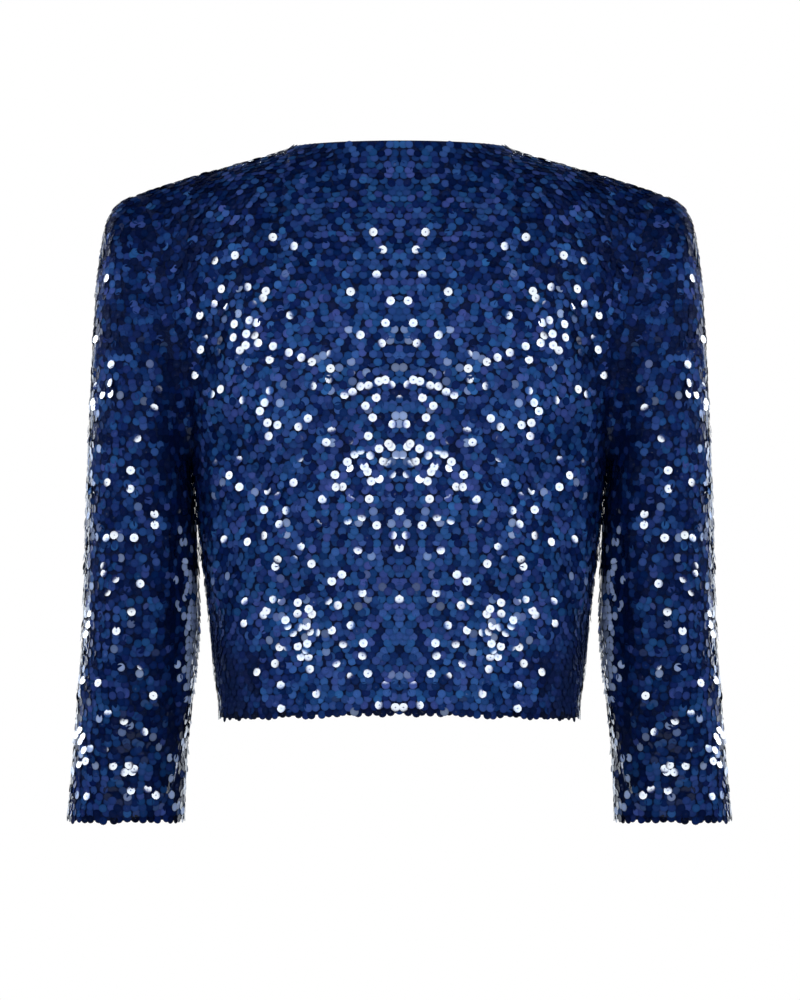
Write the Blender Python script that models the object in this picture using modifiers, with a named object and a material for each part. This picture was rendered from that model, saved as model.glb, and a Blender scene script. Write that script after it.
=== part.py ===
"""A cropped, collarless jacket with set-in three-quarter sleeves, filled out as if worn.

Metres, +Z up. The back faces +Y, the fronts face -Y and the wearer's left is at +X.
The origin lies midway between the shoulders, level with the shoulder seams at the neck.
The cloth is a thin wall: every panel is an open surface with a Solidify modifier.
"""

import math
from collections import namedtuple

import bpy
import numpy as np

JACKET = "cropped_jacket"

# Cloth
WALL = 0.0020
SEAM = 0.0003
HALF_SEAM = 0.7 * SEAM
CLOTH_COLOUR = (0.012, 0.030, 0.105, 1.0)
CLOTH_ROUGHNESS = 0.35
CLOTH_METALLIC = 0.30

# Torso form
ARMPIT_HEIGHT = -0.2400
ROUNDNESS = 2.40
Section = namedtuple("Section", "height half_width back_depth front_depth opening")
TORSO_SECTIONS = (
    Section(-0.4290, 0.1352, 0.0890, 0.1010, 0.0150),
    Section(-0.4150, 0.1358, 0.0892, 0.1020, 0.0146),
    Section(-0.3970, 0.1388, 0.0895, 0.1035, 0.0140),
    Section(-0.3690, 0.1413, 0.0905, 0.1065, 0.0130),
    Section(-0.3330, 0.1452, 0.0930, 0.1110, 0.0115),
    Section(-0.2910, 0.1502, 0.0960, 0.1165, 0.0098),
    Section(-0.2400, 0.1555, 0.0980, 0.1190, 0.0082),
)

# Hem, seen from the centre out to the side seam
BACK_HEM_CENTRE = -0.4202
BACK_HEM_SIDE = -0.4265
FRONT_HEM_CENTRE = -0.4285
CORNER_RADIUS = 0.0220

# Neck and shoulders
NECK_SEAM_DEPTH = -0.0040
BACK_NECK_DEPTH = 0.0500
BACK_NECK_RISE = 0.0018
FRONT_NECK_DEPTH = -0.0900
FRONT_NECK_DROP = 0.0830
FRONT_NECK_FULLNESS = 1.20
NECK_SHARE = 0.38
SeamPoint = namedtuple("SeamPoint", "out height")
SHOULDER_SEAM = (
    SeamPoint(0.0830, 0.0012),
    SeamPoint(0.0980, -0.0045),
    SeamPoint(0.1200, -0.0108),
    SeamPoint(0.1600, -0.0219),
    SeamPoint(0.2030, -0.0362),
)

# Upper panels: how each upright line of the cloth leaves the chest and reaches the neck or shoulder seam.
# across runs from 0 at the centre to 1 at the armhole; the rest are the line's two curve handles.
Upright = namedtuple("Upright", "across low_x low_y low_z high_x high_y high_z")
BACK_UPRIGHTS = (
    Upright(0.00, 0.0000, 0.0040, 0.1050, 0.0000, 0.0200, -0.0620),
    Upright(0.20, 0.0000, 0.0070, 0.1200, 0.0000, 0.0450, -0.0390),
    Upright(0.38, -0.0020, 0.0120, 0.1400, 0.0000, 0.0700, -0.0040),
    Upright(0.70, 0.0020, 0.0260, 0.1150, -0.0030, 0.0620, -0.0005),
    Upright(0.88, -0.0020, 0.0460, 0.0620, -0.0150, 0.0580, 0.0035),
    Upright(1.00, -0.0060, 0.0700, 0.0010, -0.0300, 0.0600, 0.0085),
)
FRONT_UPRIGHTS = (
    Upright(0.00, 0.0000, -0.0020, 0.0550, 0.0000, -0.0110, -0.0500),
    Upright(0.20, 0.0000, -0.0080, 0.0750, 0.0000, -0.0280, -0.0430),
    Upright(0.38, -0.0020, -0.0120, 0.1250, 0.0000, -0.0640, -0.0040),
    Upright(0.70, 0.0020, -0.0260, 0.1100, -0.0040, -0.0620, -0.0002),
    Upright(0.88, -0.0040, -0.0480, 0.0620, -0.0190, -0.0580, 0.0048),
    Upright(1.00, -0.0080, -0.0740, 0.0010, -0.0380, -0.0600, 0.0113),
)

# Sleeve rings from the armhole to the cuff. Each ring runs from a point on the sleeve's outer line
# to one on its inner line; back and front are how far it reaches along Y, lean how far its back drops.
Ring = namedtuple("Ring", "outer_x outer_z inner_x inner_z back front lean")
SLEEVE_RINGS = (
    Ring(0.2035, -0.0360, 0.1560, -0.2400, 0.0490, -0.0530, 0.0000),
    Ring(0.2108, -0.0388, 0.1563, -0.2415, 0.0500, -0.0540, 0.0000),
    Ring(0.2165, -0.0440, 0.1566, -0.2435, 0.0520, -0.0560, 0.0000),
    Ring(0.2200, -0.0530, 0.1568, -0.2460, 0.0535, -0.0575, 0.0000),
    Ring(0.2233, -0.0700, 0.1568, -0.2500, 0.0550, -0.0590, 0.0000),
    Ring(0.2270, -0.0980, 0.1563, -0.2560, 0.0565, -0.0600, 0.0000),
    Ring(0.2297, -0.1400, 0.1553, -0.2650, 0.0575, -0.0610, 0.0000),
    Ring(0.2321, -0.1880, 0.1542, -0.2780, 0.0570, -0.0620, 0.0000),
    Ring(0.2345, -0.2400, 0.1531, -0.2980, 0.0555, -0.0630, 0.0000),
    Ring(0.2364, -0.3000, 0.1526, -0.3280, 0.0525, -0.0640, 0.0000),
    Ring(0.2383, -0.3600, 0.1531, -0.3680, 0.0450, -0.0650, 0.0000),
    Ring(0.2424, -0.4080, 0.1570, -0.4080, 0.0355, -0.0655, -0.0005),
    Ring(0.2458, -0.4480, 0.1611, -0.4460, 0.0265, -0.0655, -0.0010),
    Ring(0.2495, -0.4850, 0.1633, -0.4830, 0.0180, -0.0650, -0.0018),
    Ring(0.2520, -0.5060, 0.1638, -0.5055, 0.0130, -0.0640, -0.0020),
)
SLEEVE_ROUNDNESS = 2.20
ARMHOLE_BLEND = 3.5
ARMHOLE_CLEARANCE = 0.00045

# Folds pressed into the sleeve. along counts rings from the armhole, around is a share of the ring
# from the outer line by way of the back, and each fold runs straight from its start to its end.
Fold = namedtuple("Fold", "along_0 around_0 along_1 around_1 width depth")
SLEEVE_FOLDS = (
    Fold(7.0, 0.385, 12.3, 0.375, 0.0120, 0.0030),
    Fold(12.4, 0.450, 14.0, 0.330, 0.0060, 0.0028),
    Fold(8.8, 0.800, 9.6, 0.560, 0.0090, 0.0040),
    Fold(9.6, 0.730, 10.3, 0.580, 0.0080, 0.0030),
)
RING_CENTRE_LENGTH = 0.033
RING_GIRTH = 0.300

# Mesh density
BACK_COLUMNS = (0.0, 0.05, 0.12, 0.20, 0.28, 0.38, 0.50, 0.61, 0.71, 0.80, 0.88, 0.94, 0.985, 1.0)
FRONT_COLUMNS = (0.0, 0.008, 0.024, 0.05, 0.09, 0.14) + BACK_COLUMNS[3:]
LOWER_ROWS = (0.0, 0.012, 0.08, 0.20, 0.34, 0.48, 0.62, 0.76, 0.89)
UPPER_ROWS = (0.0, 0.08, 0.17, 0.27, 0.37, 0.47, 0.57, 0.67, 0.76, 0.84, 0.91, 0.96, 0.99, 1.0)
RING_STEPS = (
    0.0, 0.15, 0.6, 1.1, 1.6, 2.1, 2.7, 3.3, 4.0, 4.6, 5.2, 5.8, 6.5, 7.2, 7.9, 8.5,
    9.0, 9.5, 10.0, 10.5, 11.0, 11.5, 12.0, 12.5, 13.0, 13.5, 13.93, 14.0,
)
RING_SIDES = 28


def clear_scene():
    for obj in list(bpy.data.objects):
        bpy.data.objects.remove(obj, do_unlink=True)


def read_table(rows, key, wanted, at):
    """A smooth curve through one column of a table, read at the given key."""
    keys = np.array([getattr(row, key) if key else i for i, row in enumerate(rows)], float)
    values = np.array([getattr(row, wanted) for row in rows], float)
    steps = np.diff(values) / np.diff(keys)
    slopes = np.concatenate(([steps[0]], (steps[1:] + steps[:-1]) / 2, [steps[-1]]))
    at = np.clip(np.asarray(at, float), keys[0], keys[-1])
    i = np.clip(np.searchsorted(keys, at, side="right") - 1, 0, len(keys) - 2)
    gap = keys[i + 1] - keys[i]
    t = (at - keys[i]) / gap
    start = (1 + 2 * t) * (1 - t) ** 2 * values[i] + t * (1 - t) ** 2 * gap * slopes[i]
    end = t * t * (3 - 2 * t) * values[i + 1] + t * t * (t - 1) * gap * slopes[i + 1]
    return start + end


def smooth_step(t):
    t = np.clip(t, 0.0, 1.0)
    return t * t * (3 - 2 * t)


def torso_row(across, height, face):
    """A level row round the torso; face is 1 for the back and -1 for the front."""
    angle = np.asarray(across) * math.pi / 2
    power = 2 / ROUNDNESS
    width = read_table(TORSO_SECTIONS, "height", "half_width", height)
    depth_name = "back_depth" if face > 0 else "front_depth"
    depth = read_table(TORSO_SECTIONS, "height", depth_name, height)
    start = 0.0 if face > 0 else read_table(TORSO_SECTIONS, "height", "opening", height)
    x = start + (width - start) * np.sin(angle) ** power
    y = face * depth * np.abs(np.cos(angle)) ** power
    return np.stack([x, y, np.broadcast_to(height, x.shape)], axis=-1)


def hem_height(across, face):
    """The hem line, which dips towards the side seams and rounds off at the front corners."""
    across = np.asarray(across)
    if face > 0:
        return BACK_HEM_CENTRE + (BACK_HEM_SIDE - BACK_HEM_CENTRE) * smooth_step(across / 0.8)
    level = FRONT_HEM_CENTRE + (BACK_HEM_SIDE - FRONT_HEM_CENTRE) * smooth_step(across)
    edge = torso_row(across, FRONT_HEM_CENTRE, face)[..., 0]
    inset = np.clip(1 - (edge - edge.min()) / CORNER_RADIUS, 0.0, 1.0)
    return level + CORNER_RADIUS * (1 - np.sqrt(1 - inset ** 2))


def top_edge(across, face):
    """The neck edge as far as NECK_SHARE, then the shoulder seam out to the armhole."""
    across = np.asarray(across)
    angle = np.clip(across / NECK_SHARE, 0, 1) * math.pi / 2
    along = np.clip((across - NECK_SHARE) / (1 - NECK_SHARE), 0, 1)
    neck, tip = SHOULDER_SEAM[0], SHOULDER_SEAM[-1]
    shoulder_x = (tip.out - neck.out) * along
    shoulder_y = -NECK_SEAM_DEPTH * along
    shoulder_z = read_table(SHOULDER_SEAM, "out", "height", neck.out + shoulder_x)
    if face > 0:
        start = 0.0
        neck_y = (BACK_NECK_DEPTH - NECK_SEAM_DEPTH) * np.cos(angle)
        neck_z = BACK_NECK_RISE * np.cos(angle)
    else:
        start = float(read_table(TORSO_SECTIONS, "height", "opening", ARMPIT_HEIGHT)) - 0.001
        neck_y = (FRONT_NECK_DEPTH - NECK_SEAM_DEPTH) * np.cos(angle) ** FRONT_NECK_FULLNESS
        neck_z = -FRONT_NECK_DROP * np.cos(angle)
    x = start + (neck.out - start) * np.sin(angle) + shoulder_x
    y = NECK_SEAM_DEPTH + neck_y + shoulder_y
    return np.stack([x, y, shoulder_z + neck_z], axis=-1)


def upper_point(across, rise, face):
    """A point of the yoke; rise runs from 0 at armpit height to 1 at the neck or shoulder seam."""
    across, rise = np.broadcast_arrays(np.asarray(across, float), np.asarray(rise, float))
    table = BACK_UPRIGHTS if face > 0 else FRONT_UPRIGHTS
    chest = torso_row(across, ARMPIT_HEIGHT, face)
    top = top_edge(across, face)
    low = [read_table(table, "across", name, across) for name in ("low_x", "low_y", "low_z")]
    high = [read_table(table, "across", name, across) for name in ("high_x", "high_y", "high_z")]
    low = chest + np.stack(low, axis=-1)
    high = top + np.stack(high, axis=-1)
    t = rise[..., None]
    return chest * (1 - t) ** 3 + 3 * low * t * (1 - t) ** 2 + 3 * high * t * t * (1 - t) + top * t ** 3


def panel_grid(face):
    """Rows of points from the hem to the shoulder, for the half at +X."""
    across = np.array(BACK_COLUMNS if face > 0 else FRONT_COLUMNS)
    hem = hem_height(across, face)
    rows = []
    for rise in LOWER_ROWS:
        heights = hem + (ARMPIT_HEIGHT - hem) * rise
        rows.append(np.array([torso_row(a, h, face) for a, h in zip(across, heights)]))
    for rise in UPPER_ROWS:
        rows.append(upper_point(across, rise, face))
    grid = np.array(rows)
    part_at_seams(grid, across, face)
    return grid


def part_at_seams(grid, across, face):
    """Draws the side and shoulder edges back, so that neighbours stay a seam's width apart."""
    at_seam = np.zeros(grid.shape[:2], bool)
    at_seam[:, -1] = True
    at_seam[-1, across >= NECK_SHARE] = True
    grid[at_seam, 1] += face * HALF_SEAM


def armhole_point(around):
    """The armhole as a loop: 0 at the shoulder tip, 0.25 at the back, 0.5 at the armpit."""
    around = np.asarray(around, float) % 1.0
    samples = np.linspace(0, 1, 200)
    points = np.zeros(around.shape + (3,))
    for face, share in ((1, around * 2), (-1, (1 - around) * 2)):
        line = upper_point(1.0, 1 - samples, face)
        length = np.concatenate(([0], np.cumsum(np.linalg.norm(np.diff(line, axis=0), axis=1))))
        here = around <= 0.5 if face > 0 else around > 0.5
        for axis in range(3):
            found = np.interp(share * length[-1], length, line[:, axis])
            points[..., axis] = np.where(here, found, points[..., axis])
    points[..., 0] += ARMHOLE_CLEARANCE
    return points


def sleeve_point(along, around):
    """A point of the left sleeve; along counts rings, around is a share of the ring."""
    along, around = np.broadcast_arrays(np.asarray(along, float), np.asarray(around, float))
    value = {name: read_table(SLEEVE_RINGS, None, name, along) for name in Ring._fields}
    angle = around * 2 * math.pi
    power = 2 / SLEEVE_ROUNDNESS
    out = np.sign(np.cos(angle)) * np.abs(np.cos(angle)) ** power
    back = np.sign(np.sin(angle)) * np.abs(np.sin(angle)) ** power
    middle = (value["back"] + value["front"]) / 2
    depth = (value["back"] - value["front"]) / 2
    x = (value["outer_x"] + value["inner_x"]) / 2 + (value["outer_x"] - value["inner_x"]) / 2 * out
    z = (value["outer_z"] + value["inner_z"]) / 2 + (value["outer_z"] - value["inner_z"]) / 2 * out
    oval = np.stack([x, middle + depth * back, z - value["lean"] * back / 2], axis=-1)
    blend = smooth_step(1 - along / ARMHOLE_BLEND)[..., None]
    return oval * (1 - blend) + armhole_point(around) * blend


def fold_depth(along, around):
    """How far the folds press the sleeve's wall in at a place."""
    total = np.zeros(np.broadcast(along, around).shape)
    for fold in SLEEVE_FOLDS:
        run = np.array([(fold.along_1 - fold.along_0) * RING_CENTRE_LENGTH,
                        (fold.around_1 - fold.around_0) * RING_GIRTH])
        dx = (along - fold.along_0) * RING_CENTRE_LENGTH
        dy = (around - fold.around_0) * RING_GIRTH
        length = float(np.hypot(*run))
        share = (dx * run[0] + dy * run[1]) / length ** 2
        aside = (dx * run[1] - dy * run[0]) / length
        fade = smooth_step((share + 0.15) / 0.35) * smooth_step((1.15 - share) / 0.35)
        total += fold.depth * fade * np.exp(-(aside / fold.width) ** 2)
    return total


def sleeve_grid():
    along = np.array(RING_STEPS)[:, None]
    around = (np.arange(RING_SIDES) / RING_SIDES)[None, :]
    grid = sleeve_point(along, around)
    nudge = 0.002
    down = sleeve_point(along + nudge, around) - sleeve_point(along - nudge, around)
    round_ = sleeve_point(along, around + nudge) - sleeve_point(along, around - nudge)
    normal = np.cross(round_, down)
    normal /= np.maximum(np.linalg.norm(normal, axis=-1, keepdims=True), 1e-12)
    return grid + normal * fold_depth(along, around)[..., None]


def cloth_material():
    material = bpy.data.materials.new("navy_cloth")
    material.use_nodes = True
    shader = material.node_tree.nodes["Principled BSDF"]
    shader.inputs["Base Color"].default_value = CLOTH_COLOUR
    shader.inputs["Roughness"].default_value = CLOTH_ROUGHNESS
    shader.inputs["Metallic"].default_value = CLOTH_METALLIC
    material.diffuse_color = CLOTH_COLOUR
    return material


def grid_faces(rows, columns, closed, turned):
    faces = []
    for i in range(rows - 1):
        for j in range(columns if closed else columns - 1):
            k = (j + 1) % columns
            face = (i * columns + j, i * columns + k, (i + 1) * columns + k, (i + 1) * columns + j)
            faces.append(tuple(reversed(face)) if turned else face)
    return faces


def add_panel(name, grid, collection, closed=False, turned=False, mirrored=False):
    """Makes one cloth piece from a grid of points on its outer face."""
    rows, columns = grid.shape[:2]
    mesh = bpy.data.meshes.new(name)
    mesh.from_pydata(grid.reshape(-1, 3).tolist(), [], grid_faces(rows, columns, closed, turned))
    mesh.materials.append(cloth_material())
    mesh.shade_smooth()
    piece = bpy.data.objects.new(name, mesh)
    collection.objects.link(piece)
    if mirrored:
        mirror = piece.modifiers.new("mirror", "MIRROR")
        mirror.use_clip = True
        mirror.merge_threshold = 0.0001
    wall = piece.modifiers.new("wall", "SOLIDIFY")
    wall.thickness = WALL
    wall.offset = -1.0
    return piece


def build_jacket():
    collection = bpy.data.collections.new(JACKET)
    bpy.context.scene.collection.children.link(collection)
    other_side = np.array([-1.0, 1.0, 1.0])
    back = panel_grid(1)
    back[:, 0, 0] = 0.0
    add_panel("back", back, collection, turned=True, mirrored=True)
    front = panel_grid(-1)
    add_panel("front_left", front, collection)
    add_panel("front_right", front * other_side, collection, turned=True)
    sleeve = sleeve_grid()
    add_panel("sleeve_left", sleeve, collection, closed=True, turned=True)
    add_panel("sleeve_right", sleeve * other_side, collection, closed=True)


clear_scene()
build_jacket()
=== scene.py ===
"""The look of a cropped, collarless jacket covered in navy sequins, filled out as if worn.

Metres, +Z up. The back faces +Y and the camera, the fronts face -Y and the wearer's left is at +X.
Each panel is a thin shell of dark cloth on the solid's form, with one mesh of round sequins sewn over it.
"""

import math
from collections import namedtuple

import bpy
import numpy as np
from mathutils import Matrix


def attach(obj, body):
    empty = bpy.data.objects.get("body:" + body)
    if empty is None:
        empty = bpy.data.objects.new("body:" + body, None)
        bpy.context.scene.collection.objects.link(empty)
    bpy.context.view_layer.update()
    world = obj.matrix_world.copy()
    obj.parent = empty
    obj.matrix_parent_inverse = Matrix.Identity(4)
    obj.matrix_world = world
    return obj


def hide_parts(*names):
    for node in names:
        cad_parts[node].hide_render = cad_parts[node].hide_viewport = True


BODY = "root"

# Cloth
SHELL = 0.0016
HALF_SEAM = 0.0002

# Torso form
ARMPIT_HEIGHT = -0.2400
ROUNDNESS = 2.40
Section = namedtuple("Section", "height half_width back_depth front_depth opening")
TORSO_SECTIONS = (
    Section(-0.4290, 0.1352, 0.0890, 0.1010, 0.0150),
    Section(-0.4150, 0.1358, 0.0892, 0.1020, 0.0146),
    Section(-0.3970, 0.1388, 0.0895, 0.1035, 0.0140),
    Section(-0.3690, 0.1413, 0.0905, 0.1065, 0.0130),
    Section(-0.3330, 0.1452, 0.0930, 0.1110, 0.0115),
    Section(-0.2910, 0.1502, 0.0960, 0.1165, 0.0098),
    Section(-0.2400, 0.1555, 0.0980, 0.1190, 0.0082),
)

# Hem, seen from the centre out to the side seam
BACK_HEM_CENTRE = -0.4202
BACK_HEM_SIDE = -0.4265
FRONT_HEM_CENTRE = -0.4285
CORNER_RADIUS = 0.0220
BACK_HEM_SPAN = 0.8

# Neck and shoulders
NECK_SEAM_DEPTH = -0.0040
BACK_NECK_DEPTH = 0.0500
BACK_NECK_RISE = 0.0018
FRONT_NECK_DEPTH = -0.0900
FRONT_NECK_DROP = 0.0830
FRONT_NECK_FULLNESS = 1.20
FRONT_NECK_INSET = 0.001
NECK_SHARE = 0.38
SeamPoint = namedtuple("SeamPoint", "out height")
SHOULDER_SEAM = (
    SeamPoint(0.0830, 0.0012),
    SeamPoint(0.0980, -0.0045),
    SeamPoint(0.1200, -0.0108),
    SeamPoint(0.1600, -0.0219),
    SeamPoint(0.2030, -0.0362),
)

# Upper panels: how each upright line of the cloth leaves the chest and reaches the neck or shoulder seam.
# across runs from 0 at the centre to 1 at the armhole; the rest are the line's two curve handles.
Upright = namedtuple("Upright", "across low_x low_y low_z high_x high_y high_z")
BACK_UPRIGHTS = (
    Upright(0.00, 0.0000, 0.0040, 0.1050, 0.0000, 0.0200, -0.0620),
    Upright(0.20, 0.0000, 0.0070, 0.1200, 0.0000, 0.0450, -0.0390),
    Upright(0.38, -0.0020, 0.0120, 0.1400, 0.0000, 0.0700, -0.0040),
    Upright(0.70, 0.0020, 0.0260, 0.1150, -0.0030, 0.0620, -0.0005),
    Upright(0.88, -0.0020, 0.0460, 0.0620, -0.0150, 0.0580, 0.0035),
    Upright(1.00, -0.0060, 0.0700, 0.0010, -0.0300, 0.0600, 0.0085),
)
FRONT_UPRIGHTS = (
    Upright(0.00, 0.0000, -0.0020, 0.0550, 0.0000, -0.0110, -0.0500),
    Upright(0.20, 0.0000, -0.0080, 0.0750, 0.0000, -0.0280, -0.0430),
    Upright(0.38, -0.0020, -0.0120, 0.1250, 0.0000, -0.0640, -0.0040),
    Upright(0.70, 0.0020, -0.0260, 0.1100, -0.0040, -0.0620, -0.0002),
    Upright(0.88, -0.0040, -0.0480, 0.0620, -0.0190, -0.0580, 0.0048),
    Upright(1.00, -0.0080, -0.0740, 0.0010, -0.0380, -0.0600, 0.0113),
)

# Sleeve rings from the armhole to the cuff. Each ring runs from a point on the sleeve's outer line
# to one on its inner line; back and front are how far it reaches along Y, lean how far its back drops.
Ring = namedtuple("Ring", "outer_x outer_z inner_x inner_z back front lean")
SLEEVE_RINGS = (
    Ring(0.2035, -0.0360, 0.1560, -0.2400, 0.0490, -0.0530, 0.0000),
    Ring(0.2108, -0.0388, 0.1563, -0.2415, 0.0500, -0.0540, 0.0000),
    Ring(0.2165, -0.0440, 0.1566, -0.2435, 0.0520, -0.0560, 0.0000),
    Ring(0.2200, -0.0530, 0.1568, -0.2460, 0.0535, -0.0575, 0.0000),
    Ring(0.2233, -0.0700, 0.1568, -0.2500, 0.0550, -0.0590, 0.0000),
    Ring(0.2270, -0.0980, 0.1563, -0.2560, 0.0565, -0.0600, 0.0000),
    Ring(0.2297, -0.1400, 0.1553, -0.2650, 0.0575, -0.0610, 0.0000),
    Ring(0.2321, -0.1880, 0.1542, -0.2780, 0.0570, -0.0620, 0.0000),
    Ring(0.2345, -0.2400, 0.1531, -0.2980, 0.0555, -0.0630, 0.0000),
    Ring(0.2364, -0.3000, 0.1526, -0.3280, 0.0525, -0.0640, 0.0000),
    Ring(0.2383, -0.3600, 0.1531, -0.3680, 0.0450, -0.0650, 0.0000),
    Ring(0.2424, -0.4080, 0.1570, -0.4080, 0.0355, -0.0655, -0.0005),
    Ring(0.2458, -0.4480, 0.1611, -0.4460, 0.0265, -0.0655, -0.0010),
    Ring(0.2495, -0.4850, 0.1633, -0.4830, 0.0180, -0.0650, -0.0018),
    Ring(0.2520, -0.5060, 0.1638, -0.5055, 0.0130, -0.0640, -0.0020),
)
SLEEVE_ROUNDNESS = 2.20
ARMHOLE_BLEND = 3.5
ARMHOLE_CLEARANCE = 0.00045

# Folds pressed into the sleeve. along counts rings from the armhole, around is a share of the ring
# from the outer line by way of the back, and each fold runs straight from its start to its end.
Fold = namedtuple("Fold", "along_0 around_0 along_1 around_1 width depth")
SLEEVE_FOLDS = (
    Fold(7.0, 0.385, 12.3, 0.375, 0.0120, 0.0030),
    Fold(12.4, 0.450, 14.0, 0.330, 0.0060, 0.0028),
    Fold(8.8, 0.800, 9.6, 0.560, 0.0090, 0.0040),
    Fold(9.6, 0.730, 10.3, 0.580, 0.0080, 0.0030),
)
RING_CENTRE_LENGTH = 0.033
RING_GIRTH = 0.300
FOLD_OVERRUN = 0.15
FOLD_FADE = 0.35

# Soft creases of the torso: each runs straight from one place to another, given as distance out from
# the centre and height.
Crease = namedtuple("Crease", "out_0 height_0 out_1 height_1 width depth")
BACK_CREASES = (
    Crease(0.1420, -0.2180, 0.0880, -0.2700, 0.0120, 0.0032),
    Crease(0.1480, -0.2620, 0.1050, -0.2860, 0.0090, 0.0022),
    Crease(0.0350, -0.3320, 0.1200, -0.3500, 0.0130, 0.0020),
    Crease(0.0500, -0.3850, 0.1150, -0.3740, 0.0100, 0.0016),
    Crease(0.1250, -0.0900, 0.1480, -0.1650, 0.0100, 0.0024),
)
FRONT_CREASES = (
    Crease(0.1400, -0.2150, 0.0850, -0.2480, 0.0120, 0.0022),
    Crease(0.1450, -0.2600, 0.0950, -0.2980, 0.0100, 0.0016),
    Crease(0.0450, -0.3420, 0.1150, -0.3300, 0.0120, 0.0013),
    Crease(0.0400, -0.3900, 0.1000, -0.3760, 0.0100, 0.0010),
    Crease(0.1200, -0.0850, 0.1420, -0.1600, 0.0100, 0.0018),
)
CREASE_OVERRUN = 0.20
CREASE_FADE = 0.45
CREASE_SIDE_FADE = 0.06
CREASE_HEM_FADE = 0.05
CREASE_TOP_FADE = 0.08

# Grids that the panels are made on, the usual distance between their rows, and how many of their rows
# and columns a face of a shell takes
PANEL_COLUMNS = 121
LOWER_ROWS = 90
UPPER_ROWS = 121
SLEEVE_ROWS = 240
SLEEVE_SIDES = 144
GRID_STEP = 0.0021
ARMHOLE_SAMPLES = 200
SHELL_ROWS = 3
SHELL_COLUMNS = 2
SLOPE_STEP = 0.002

# Sequins
SEED = 4171
SEQUIN_RADIUS = 0.0032
SEQUIN_SIDES = 12
SEQUIN_DISH = 0.00010
ROW_PITCH = 0.0046
SEQUIN_PITCH = 0.0058
FIRST_ROW = 0.0012
SHORTEST_RUN = 4
ALONG_JITTER = 0.0010
ROW_JITTER = 0.0008
DROP_SHARE = 0.22
ON_CENTRE = 1e-4

# How far the rows stop from a panel's edges, and how far the run along its top edge lies from it
SIDE_GAP = 0.0035
OPENING_GAP = 0.0018
SEAM_GAP = 0.0045
NECK_GAP = 0.0064
SEAM_RUN = 0.0026
NECK_RUN = 0.0037
NECK_MARGIN = 0.01

# How high the sequins stand off the cloth
LIFT = 0.0004
LIFT_STEP = 0.0003
LIFT_JITTER = 0.0003
CATCH_LIFT = 0.0009
PAINTED_SHEEN_LIFT = 0.0004

# How they lean: upwards with the nap, with a slow wave over the cloth, and each by chance
NAP = math.radians(5.0)
SLEEVE_NAP = math.radians(3.0)
RIPPLE = math.radians(2.5)
TILT = math.radians(3.4)
LOOSE_TILT = math.radians(10.0)
LOOSE_SHARE = 0.10
SEAM_LOOSENESS = 0.4
CORNER_CALM = 0.8
TOP_FROM = 0.45
TOP_FADE = 0.30
TOP_CALM = 0.6
RIDGE_FROM = 0.72
RIDGE_FADE = 0.10
RIDGE_CALM = 0.85

# A lean that shows a lamp to an eye is drawn again: at first for every eye, then for the nearest alone.
# The margin is in degrees, round each lamp.
REDRAWS = 24
FULL_REDRAWS = 12
LATE_TILT = 2 * TILT
LAMP_MARGIN = 4.0
EYES = 8
SEEN_LIMIT = 0.12

# Those that catch a lamp face half-way between it and the eye, within a limit and with some spread
CATCH_LIMIT = math.radians(24.0)
CATCH_SPREAD = math.radians(0.9)
GLANCE_SPREAD = math.radians(2.0)
GLANCE_SHARE = 0.35
EDGE_CATCH = 0.4

# Where more of the sequins catch a lamp: soft spots, each at a distance out and a height
Spot = namedtuple("Spot", "out height wide tall strength")
TORSO_SPARKLE = 0.050
TORSO_SPARKLES = (
    Spot(0.000, -0.235, 0.026, 0.056, 0.170),
    Spot(0.062, -0.170, 0.070, 0.018, 0.120),
    Spot(0.060, -0.230, 0.080, 0.080, 0.010),
    Spot(0.068, -0.362, 0.026, 0.026, 0.240),
    Spot(0.045, -0.325, 0.045, 0.022, 0.060),
    Spot(0.045, -0.405, 0.045, 0.018, 0.110),
    Spot(0.120, -0.150, 0.032, 0.060, 0.050),
    Spot(0.120, -0.128, 0.022, 0.024, 0.200),
)
SLEEVE_SPARKLE = 0.034
SLEEVE_SPARKLES = (
    Spot(0.238, -0.300, 0.010, 0.160, 0.060),
    Spot(0.203, -0.455, 0.024, 0.042, 0.130),
    Spot(0.196, -0.285, 0.026, 0.060, 0.110),
    Spot(0.154, -0.380, 0.006, 0.060, 0.900),
    Spot(0.170, -0.490, 0.006, 0.018, 0.250),
)
YOKE_LINE = -0.075
YOKE_FADE = 0.05
YOKE_SPARKLE = 0.10
DIM_LIMIT = 2.2
LEAST_SPARKLE = 0.05

# Where painted shade darkens them: the shoulders, the top of the back, the hem's corners, the sides, and on
# the sleeves the head and the inner side
TORSO_PAINTED_SHADE_SPOTS = (
    Spot(0.180, -0.040, 0.060, 0.060, 2.40),
    Spot(0.000, 0.000, 0.200, 0.030, 0.80),
    Spot(0.110, -0.070, 0.050, 0.050, 1.00),
    Spot(0.120, -0.420, 0.040, 0.040, 1.50),
    Spot(0.162, -0.235, 0.018, 0.160, 3.50),
)
SLEEVE_PAINTED_SHADE_SPOTS = (
    Spot(0.1690, -0.400, 0.0090, 0.110, 3.50),
    Spot(0.2050, -0.060, 0.0350, 0.080, 2.20),
    Spot(0.1660, -0.210, 0.0120, 0.100, 4.00),
)
# Painted shade over the whole of each sleeve: a higher power and a lower top for their brightness
SLEEVE_EXTRA_PAINTED_SHADE = 0.50
SLEEVE_PAINTED_SHADE_CAP = 0.76

# Painted reflections, which make some sequins silvery: a strip on each sleeve's lower inner side, and flecks
# on its outer line
PAINTED_REFLECTION_STRIPS = (
    Spot(0.1560, -0.380, 0.0065, 0.058, 1.50),
    Spot(0.2320, -0.220, 0.0050, 0.090, 0.12),
    Spot(0.2440, -0.400, 0.0060, 0.090, 0.14),
    Spot(0.1700, -0.490, 0.0060, 0.020, 0.55),
)

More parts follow.
